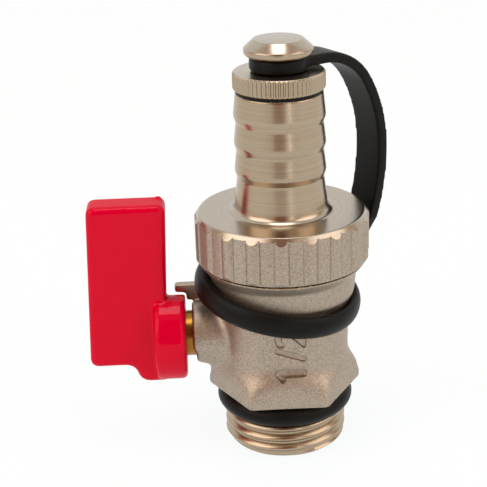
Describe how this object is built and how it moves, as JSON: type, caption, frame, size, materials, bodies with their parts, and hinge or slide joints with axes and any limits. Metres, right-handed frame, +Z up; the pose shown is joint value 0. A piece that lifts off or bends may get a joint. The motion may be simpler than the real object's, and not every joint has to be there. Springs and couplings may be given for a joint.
{
  "type": "drain ball valve",
  "caption": "Straight drain ball valve: male pipe thread with a sealing ring, forged hexagon body, red lever, ribbed hose tail and a captive screw plug on a black rubber tether.",
  "frame": {"origin": "the centre of the inlet thread's end face, on the flow axis", "axes": "+Z up along the flow axis from the inlet thread to the hose tail and plug; -X along the stem to the lever; -Y to the front flat that carries the size mark"},
  "size_m": [0.0524, 0.0294, 0.0707],
  "materials": {
    "nickel_plated_brass": "nickel-plated, sand-grained where forged and bright where turned",
    "bare_brass": "turned, bare",
    "chromed_brass": "polished",
    "red_coated_metal": "glossy red coat over a casting",
    "black_rubber": "satin, moulded",
    "seat_plastic": "white, waxy",
    "steel": "plain"
  },
  "bodies": {
    "body": {"valve_body": "nickel_plated_brass", "thread_o_ring": "black_rubber", "lower_seat": "seat_plastic", "upper_seat": "seat_plastic", "seat_retainer": "bare_brass", "outlet_washer": "black_rubber", "hose_union": "nickel_plated_brass", "tether": "black_rubber"},
    "lever": {"handle": "red_coated_metal", "handle_grub_screw": "steel", "stem": "bare_brass", "stem_thrust_washer": "seat_plastic", "inner_stem_o_ring": "black_rubber", "outer_stem_o_ring": "black_rubber", "ball": "chromed_brass"},
    "plug_carrier": {"plug_gasket": "black_rubber"},
    "plug": {"plug": "nickel_plated_brass"}
  },
  "joints": [
    {"name": "handle_turn", "type": "hinge", "parent": "body", "child": "lever", "pos_m": [-0.0168, 0, 0.01965], "axis": [1, 0, 0], "range_deg": [0, 90]},
    {"name": "plug_lift", "type": "slide", "parent": "body", "child": "plug_carrier", "axis": [0, 0, 1], "range_m": [0, 0.008], "deforming": ["tether"]},
    {"name": "plug_turn", "type": "hinge", "parent": "plug_carrier", "child": "plug", "pos_m": [0, 0, 0.06253], "axis": [0, 0, 1], "range_deg": [0, 2890]}
  ],
  "couplings": [
    {"joint": "plug_turn", "follows": "plug_lift", "rad_per_m": 6283.2}
  ]
}
